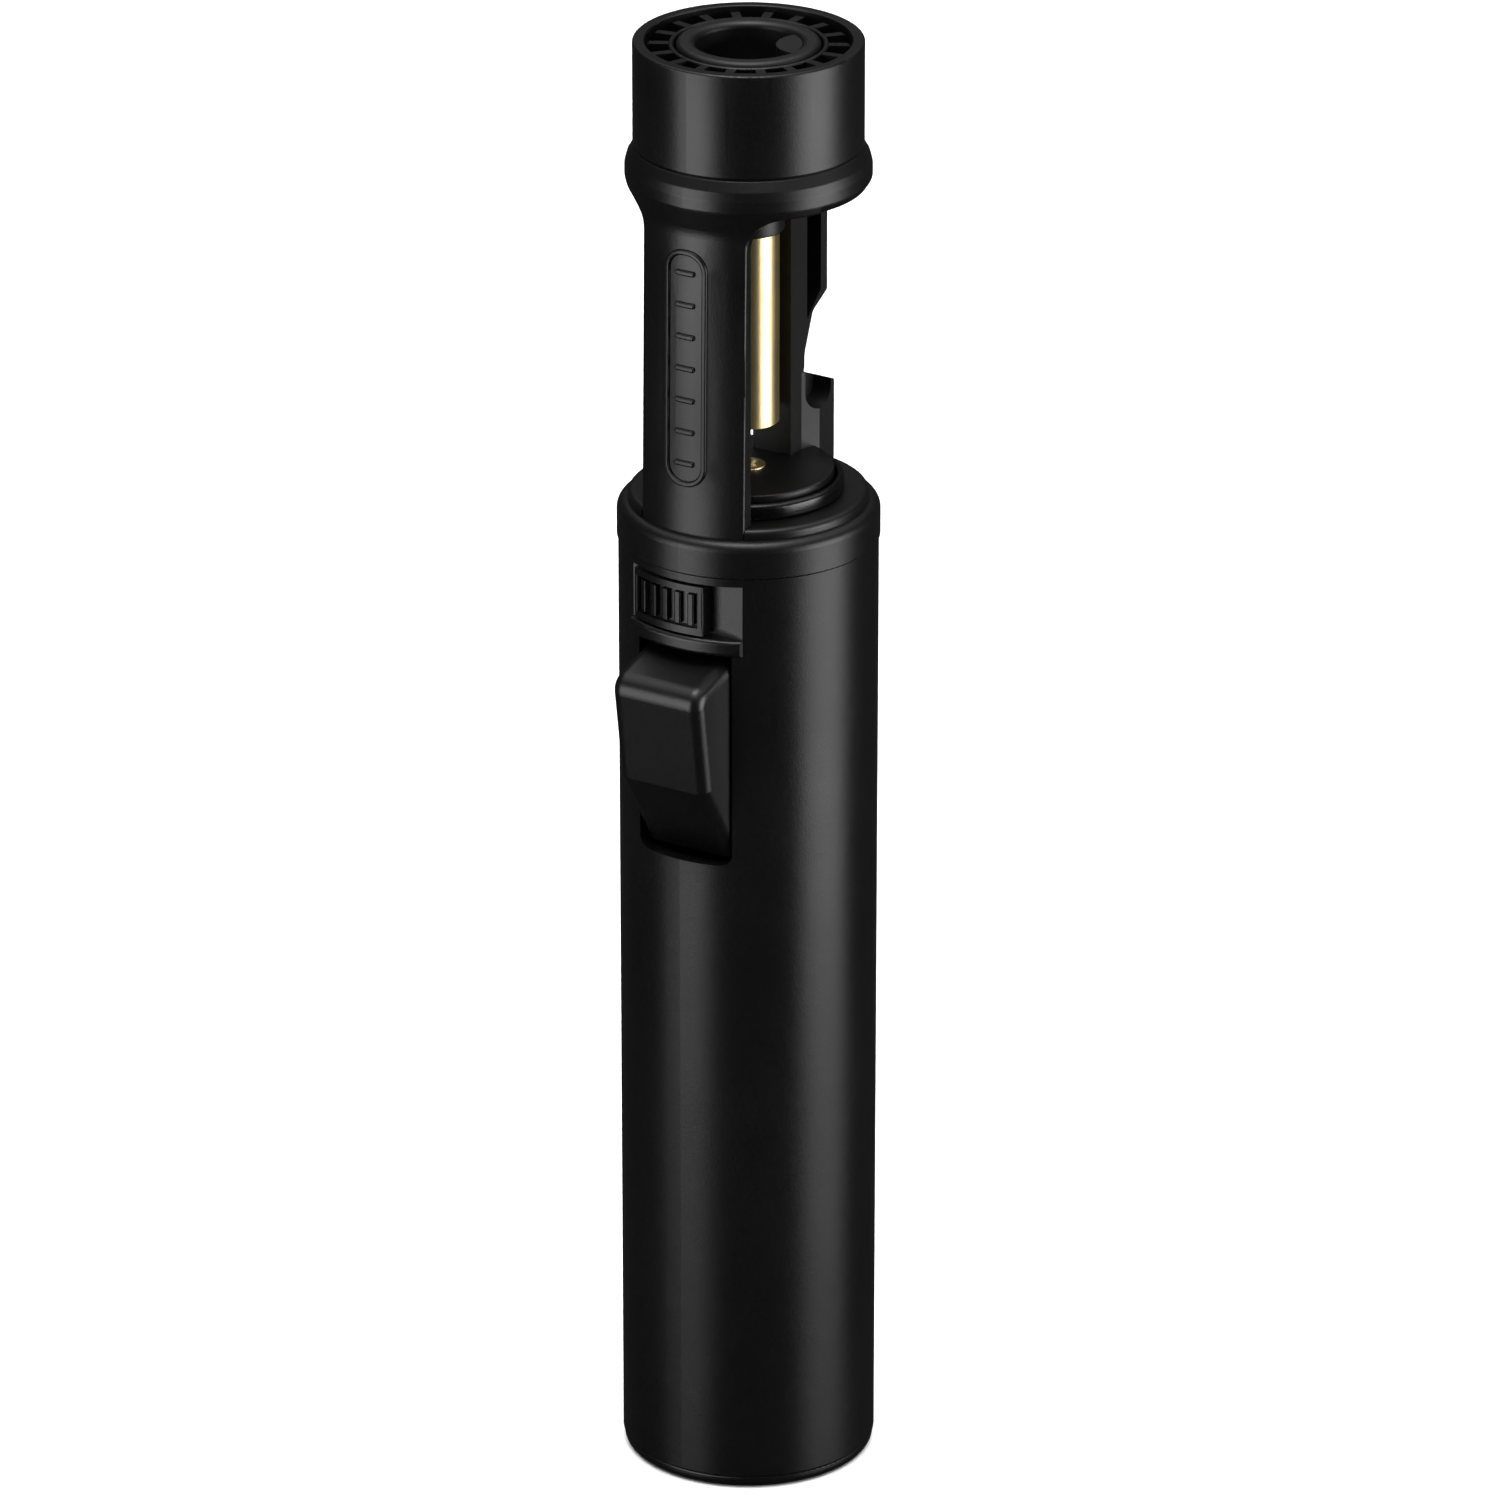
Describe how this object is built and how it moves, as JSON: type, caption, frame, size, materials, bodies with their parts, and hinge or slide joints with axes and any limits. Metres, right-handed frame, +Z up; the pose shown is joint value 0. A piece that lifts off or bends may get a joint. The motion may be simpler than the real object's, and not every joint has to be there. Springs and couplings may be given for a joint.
{
  "type": "butane torch",
  "caption": "Pocket butane torch: round black body with thumb trigger and ribbed lock slider, open neck with a brass mixing tube, and a round burner head.",
  "frame": {"origin": "centre of the flat base, on the body's axis", "axes": "+Z up the body's axis to the flame end, -Y towards the trigger, +X to the trigger's right seen from the back"},
  "size_m": [0.0284, 0.0333, 0.164],
  "materials": {
    "shell_black": "satin",
    "trigger_black": "satin",
    "ring_black": "gloss",
    "burner_black": "matte",
    "brass": "turned, polished",
    "steel": "plain",
    "rubber": "matte",
    "hose": "matte",
    "tank_plastic": "moulded nylon",
    "chassis_grey": "matte",
    "piezo_black": "matte",
    "crystal": "fired",
    "wick": "bonded fibre",
    "lead": "silicone"
  },
  "bodies": {
    "housing": {"base_cap": "shell_black", "bead_ring": "ring_black", "body_tube": "shell_black", "burner_nozzle": "steel", "chassis": "chassis_grey", "chassis_screws": "steel", "electrode_housing": "burner_black", "flame_disc": "steel", "fuel_tank": "tank_plastic", "fuel_wick": "wick", "gas_hose": "hose", "gas_jet": "brass", "gas_lever_pin": "steel", "gas_valve_body": "brass", "gas_valve_seal": "rubber", "gas_valve_spring": "steel", "head_guard": "shell_black", "ignition_lead": "lead", "jet_seal": "rubber", "mixing_tube": "brass", "nozzle_collar": "burner_black", "piezo_case": "piezo_black", "piezo_crystal": "crystal", "piezo_spring": "steel", "rear_spine": "burner_black", "refill_valve_body": "brass", "refill_valve_seal": "rubber", "refill_valve_spring": "steel", "shoulder_collar": "shell_black", "spark_electrode": "steel", "tank_lid": "tank_plastic", "tank_lid_seal": "rubber", "trigger_pin": "steel", "tube_socket": "burner_black", "valve_boss": "shell_black", "vent_ring": "shell_black"},
    "trigger": {"trigger": "trigger_black"},
    "plunger": {"piezo_plunger": "piezo_black", "piezo_hammer": "steel"},
    "gas_lever": {"gas_lever": "steel"},
    "valve_stem": {"gas_valve_stem": "steel"},
    "slider": {"lock_slider": "trigger_black", "slider_catch": "trigger_black"},
    "refill_stem": {"refill_valve_stem": "steel"}
  },
  "joints": [
    {"name": "trigger_press", "type": "hinge", "parent": "housing", "child": "trigger", "pos_m": [0, -0.0078, 0.077], "axis": [-1, 0, 0], "range_deg": [0, 9], "stiffness_Nm_per_rad": 1.2, "springref_deg": -2.86},
    {"name": "plunger_slide", "type": "slide", "parent": "housing", "child": "plunger", "axis": [0, 0, -1], "range_m": [0, 0.0028], "deforming": ["piezo_spring"]},
    {"name": "gas_lever_tilt", "type": "hinge", "parent": "housing", "child": "gas_lever", "pos_m": [0, 0.0045, 0.074], "axis": [1, 0, 0], "range_deg": [0, 13]},
    {"name": "valve_stem_lift", "type": "slide", "parent": "housing", "child": "valve_stem", "axis": [0, 0, 1], "range_m": [0, 0.00065], "deforming": ["gas_valve_spring"]},
    {"name": "lock_slide", "type": "slide", "parent": "housing", "child": "slider", "axis": [1, 0, 0], "range_m": [0, 0.0033]},
    {"name": "refill_stem_press", "type": "slide", "parent": "housing", "child": "refill_stem", "axis": [0, 0, 1], "range_m": [0, 0.0015], "stiffness_N_per_m": 400, "springref_m": -0.001, "deforming": ["refill_valve_spring"]}
  ],
  "couplings": [
    {"joint": "plunger_slide", "follows": "trigger_press", "m_per_rad": 0.017824},
    {"joint": "gas_lever_tilt", "follows": "trigger_press", "ratio": 1.4444},
    {"joint": "valve_stem_lift", "follows": "trigger_press", "m_per_rad": 0.004137}
  ]
}
